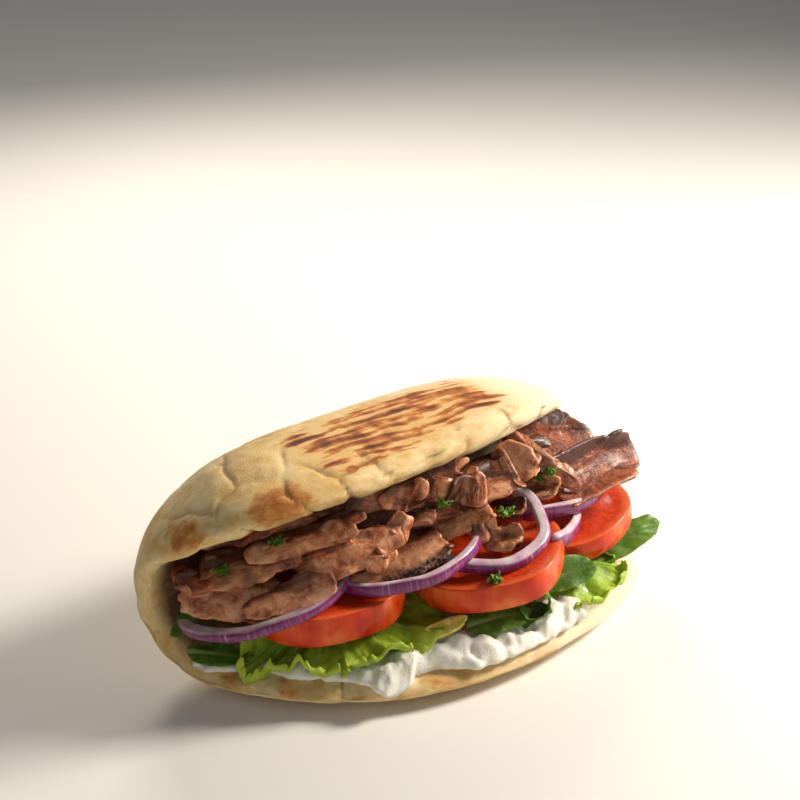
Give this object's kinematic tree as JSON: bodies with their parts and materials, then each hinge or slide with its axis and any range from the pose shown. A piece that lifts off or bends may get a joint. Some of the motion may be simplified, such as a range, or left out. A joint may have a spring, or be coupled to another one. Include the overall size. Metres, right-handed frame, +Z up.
{
  "type": "doner kebab sandwich",
  "caption": "Oval flatbread folded in half round carved meat, red onion rings, tomato slices, lettuce and garlic sauce, resting on its lower half with the mouth to one side; a hand-held meal.",
  "frame": {"origin": "on the ground, under the middle of the whole sandwich", "axes": "+X along the fold, -Y out of the mouth, +Z up"},
  "size_m": [0.2102, 0.12, 0.0891],
  "materials": {
    "bread": "matte",
    "sauce": "satin",
    "tomato": "gloss",
    "onion": "gloss",
    "leaf": "satin",
    "pepper": "satin",
    "meat": "satin"
  },
  "bodies": {
    "root": {"bread": "bread", "garlic_sauce": "sauce", "pepper_strip": "pepper", "meat_heap": "meat", "meat_slice_01": "meat", "meat_slice_02": "meat", "meat_slice_03": "meat", "meat_slice_04": "meat", "meat_slice_05": "meat", "meat_slice_06": "meat", "meat_slice_07": "meat", "meat_slice_08": "meat", "meat_slice_09": "meat", "meat_slice_10": "meat", "meat_slice_11": "meat", "meat_slice_12": "meat", "meat_slice_13": "meat", "meat_slice_14": "meat", "meat_slice_15": "meat", "meat_slice_16": "meat", "meat_slice_17": "meat", "meat_slice_18": "meat", "meat_slice_19": "meat", "meat_slice_20": "meat", "tomato_slice_left": "tomato", "tomato_slice_middle": "tomato", "tomato_slice_right": "tomato", "onion_ring_left": "onion", "onion_ring_middle": "onion", "onion_ring_upright": "onion", "onion_arc_right": "onion", "onion_arc_short": "onion", "lettuce_left": "leaf", "lettuce_right": "leaf", "leaf_long": "leaf", "leaf_rolled": "leaf", "leaf_low": "leaf", "leaf_end": "leaf", "leaf_inner": "leaf"}
  },
  "joints": []
}
